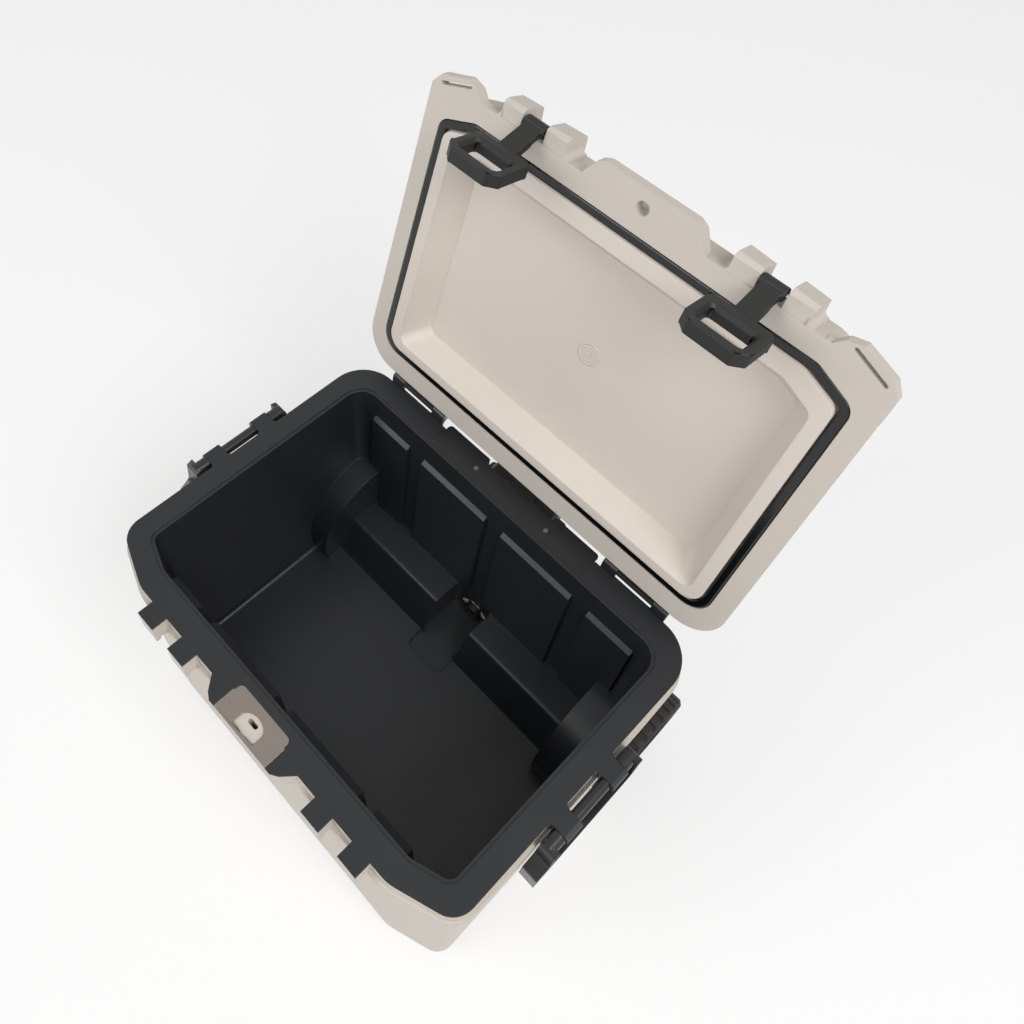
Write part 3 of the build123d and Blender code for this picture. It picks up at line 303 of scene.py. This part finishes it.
# Drain
# A black nylon spout with a rubber washer and a screw cap behind the tub.
black_nylon = moulded("moulded black nylon", "#1D1D1F", "#171719", (0.32, 0.42), 0.8, 0.03)
soft_rubber = moulded("black rubber", "#1A1918", "#141312", (0.6, 0.72), 0.6, 0.05)
dress("drain_fitting", black_nylon)
dress("drain_washer", soft_rubber)
rounded("drain_cap", 1.0, black_nylon)

# Feet and running gear
# Rubber feet under the front, and a zinc plated axle held in its groove by nylon saddles.
zinc_plate, zinc_tree, zinc_shader = new_material("zinc plated steel")
zinc_shader.inputs["Base Color"].default_value = linear("#B4B4B0")
zinc_shader.inputs["Metallic"].default_value = 1.0
zinc_place = add_node(zinc_tree, "ShaderNodeTexCoord", {}).outputs["Object"]
# crystal patches of the plating, about 3 mm across
zinc_patches = add_node(
    zinc_tree, "ShaderNodeTexVoronoi", {"Scale": 330}, [("Vector", zinc_place)]
)
zinc_shine = add_node(
    zinc_tree,
    "ShaderNodeMapRange",
    {"To Min": 0.25, "To Max": 0.4},
    [("Value", zinc_patches.outputs["Distance"])],
)
zinc_tree.links.new(zinc_shine.outputs["Result"], zinc_shader.inputs["Roughness"])
for side in ("left", "right"):
    rounded(f"front_foot_{side}", 1.0, soft_rubber)
for steel_piece in ("axle", "axle_nuts", "axle_saddle_screws", "lower_bracket_screws"):
    dress(steel_piece, zinc_plate)
dress("axle_saddles", black_nylon)

# Wheels
# Each is a spoked black polypropylene hub in a ribbed tyre of foamed rubber, with a snap-in cap.
tyre_rubber = moulded("foamed tyre rubber", "#201E1C", "#181614", (0.66, 0.8), 0.9, 0.08)
for side in ("left", "right"):
    rounded(f"wheel_hub_{side}", 1.2, black_nylon)
    rounded(f"tyre_{side}", 1.4, tyre_rubber)
    rounded(f"wheel_cap_{side}", 0.8, black_nylon)

# Hinges
# Two black nylon hinges, a leaf on the tub and one on the lid, knuckled on a steel pin.
for side in ("left", "right"):
    crisp(f"hinge_leaf_body_{side}", black_nylon)
    crisp(f"hinge_leaf_lid_{side}", black_nylon)
    dress(f"hinge_pin_{side}", zinc_plate)
dress("hinge_screws_body", zinc_plate)
dress("hinge_screws_lid", zinc_plate)

# Pull handle
# A black bracket let into the rear rim holds the outer tubes, a foot holds their lower ends,
# and two stages of black anodised tube carry the grip with its release button.
black_anodised = moulded("black anodised aluminium", "#2A2A2D", "#232326", (0.3, 0.38), 1.0, 0.01)
black_anodised.node_tree.nodes["Principled BSDF"].inputs["Metallic"].default_value = 0.9
crisp("handle_plate", black_nylon)
crisp("lower_bracket", black_nylon)
for side in ("left", "right"):
    for stage in ("outer_tube", "middle_tube", "inner_tube"):
        dress(f"{stage}_{side}", black_anodised)
rounded("pull_grip", 1.2, black_nylon)
rounded("release_button", 0.6, black_nylon)
dress("release_rods", zinc_plate)

# Lid
# A pale outer moulding and a smoother inner panel with a deep hollow, foam between them,
# a glossy black rubber gasket in the flange's groove and a plug in the foam's filling hole.
smooth_polyethylene = moulded(
    "smooth pale polyethylene", "#CFC6BD", "#C9C0B7", (0.48, 0.58), 1.6, 0.08, edge_mm=3.0
)
gasket_rubber = moulded("extruded gasket rubber", "#0E0F11", "#0A0B0D", (0.14, 0.2), 3.0, 0.02)
crisp("lid_shell", etched_polyethylene)
crisp("lid_inner_panel", smooth_polyethylene)
rounded("lid_gasket", 3.0, gasket_rubber, 4)

# Foam plug
# A pale polyethylene disc snapped into the hole the foam was poured through, turned with
# shallow rings about its middle.
RING_STEP = 0.0042
RING_DEPTH = 0.0006
turned_plug = moulded("turned pale plug", "#CFC6BD", "#C9C0B7", (0.5, 0.6), 1.6, 0.05)
plug_tree = turned_plug.node_tree
plug_corners = [Vector(corner) for corner in solids["lid_foam_plug"].bound_box]
plug_middle = sum(plug_corners, Vector()) / len(plug_corners)
plug_place = add_node(plug_tree, "ShaderNodeTexCoord", {}).outputs["Object"]
from_middle = add_node(
    plug_tree, "ShaderNodeMapping", {"Location": -plug_middle}, [("Vector", plug_place)]
)
# a wave texture has a ring every 2 pi / (20 x scale)
plug_rings = add_node(
    plug_tree,
    "ShaderNodeTexWave",
    {"wave_type": "RINGS", "rings_direction": "SPHERICAL", "Scale": pi / (10 * RING_STEP)},
    [("Vector", from_middle.outputs["Vector"])],
)
plug_relief = add_node(
    plug_tree,
    "ShaderNodeBump",
    {"Strength": 1.0, "Distance": RING_DEPTH},
    [("Height", plug_rings.outputs["Fac"])],
)
plug_tree.links.new(
    plug_relief.outputs["Normal"], plug_tree.nodes["Principled BSDF"].inputs["Normal"]
)
dress("lid_foam_plug", turned_plug)

# Latches
# Two stiff black rubber latches, an arm and a pull ring each, on steel pins in the lid's bosses.
latch_rubber = moulded("moulded latch rubber", "#131110", "#0E0C0B", (0.5, 0.62), 0.9, 0.06)
for side in ("left", "right"):
    rounded(f"latch_{side}", 1.6, latch_rubber)
    dress(f"latch_pin_{side}", zinc_plate)

# Side handles
# A black nylon bail at each end, pressed on a round bar that turns in the rim's two lugs.
glossy_nylon = moulded("glossy black nylon", "#17181A", "#131416", (0.2, 0.3), 4.0, 0.02)
for side in ("left", "right"):
    crisp(f"side_handle_{side}", glossy_nylon)
    crisp(f"side_pivot_{side}", glossy_nylon)

# Floor and light
# A white studio floor that keeps a soft shadow, a big soft lamp high on the right,
# and a second one in front that lights the lid's inside.
FLOOR_HALF = 8.0
FLOOR_WHITE = "#F6F6F6"
floor_mesh = bpy.data.meshes.new("studio_floor")
floor_mesh.from_pydata(
    [(x * FLOOR_HALF, y * FLOOR_HALF, 0) for x, y in ((-1, -1), (1, -1), (1, 1), (-1, 1))],
    [],
    [(0, 1, 2, 3)],
)
floor = bpy.data.objects.new("studio_floor", floor_mesh)
bpy.context.scene.collection.objects.link(floor)


def seen_directly(tree):
    """A factor of 1 for rays from the camera, mirrors and glass, and 0 for those that light."""
    rays = add_node(tree, "ShaderNodeLightPath", {}).outputs
    either = add_node(
        tree,
        "ShaderNodeMath",
        {"operation": "MAXIMUM"},
        [(0, rays["Is Camera Ray"]), (1, rays["Is Glossy Ray"])],
    )
    return add_node(
        tree,
        "ShaderNodeMath",
        {"operation": "MAXIMUM"},
        [(0, either.outputs["Value"]), (1, rays["Is Transmission Ray"])],
    ).outputs["Value"]


paper, paper_tree, paper_shader = new_material("white studio paper")
paper_shader.inputs["Base Color"].default_value = linear(FLOOR_WHITE)
paper_shader.inputs["Roughness"].default_value = 0.9
paper_shader.inputs["Specular IOR Level"].default_value = 0.0
paper_glow = add_node(
    paper_tree, "ShaderNodeEmission", {"Color": linear(FLOOR_WHITE), "Strength": 1.0}
)
# the rest of the paper's light comes from the lamps and keeps the object's shadow
PAPER_GLOW = 0.6
paper_share = add_node(
    paper_tree,
    "ShaderNodeMath",
    {"operation": "MULTIPLY", 1: PAPER_GLOW},
    [(0, seen_directly(paper_tree))],
)
paper_mix = add_node(
    paper_tree,
    "ShaderNodeMixShader",
    {},
    [
        (0, paper_share.outputs["Value"]),
        (1, paper_shader.outputs["BSDF"]),
        (2, paper_glow.outputs["Emission"]),
    ],
)
paper_tree.links.new(
    paper_mix.outputs["Shader"], paper_tree.nodes["Material Output"].inputs["Surface"]
)
floor_mesh.materials.append(paper)

world = bpy.data.worlds.new("studio")
bpy.context.scene.world = world
world.use_nodes = True
world_tree = world.node_tree
world_tree.nodes["Background"].inputs["Color"].default_value = linear(FLOOR_WHITE)
# the surroundings look white and light the cooler at half that level
SKY_LIGHT = 0.5
world_light = add_node(
    world_tree,
    "ShaderNodeMapRange",
    {"To Min": SKY_LIGHT, "To Max": 1.0},
    [("Value", seen_directly(world_tree))],
)
world_tree.links.new(
    world_light.outputs["Result"], world_tree.nodes["Background"].inputs["Strength"]
)

# each lamp's place, its width in metres and its power in watts
LAMPS = {
    "key_softbox": ((3.2, -0.6, 4.4), 2.6, 175),
    "front_softbox": ((-2.4, -4.2, 3.6), 3.2, 125),
}
LAMP_TARGET = Vector((0, 0, 0.35))
for lamp_name, (place, size, power) in LAMPS.items():
    lamp = bpy.data.lights.new(lamp_name, "AREA")
    lamp.size = size
    lamp.energy = power
    stand = bpy.data.objects.new(lamp_name, lamp)
    stand.location = place
    aim = LAMP_TARGET - Vector(place)
    stand.rotation_euler = aim.to_track_quat("-Z", "Y").to_euler()
    bpy.context.scene.collection.objects.link(stand)
bpy.context.scene.view_settings.view_transform = "Standard"
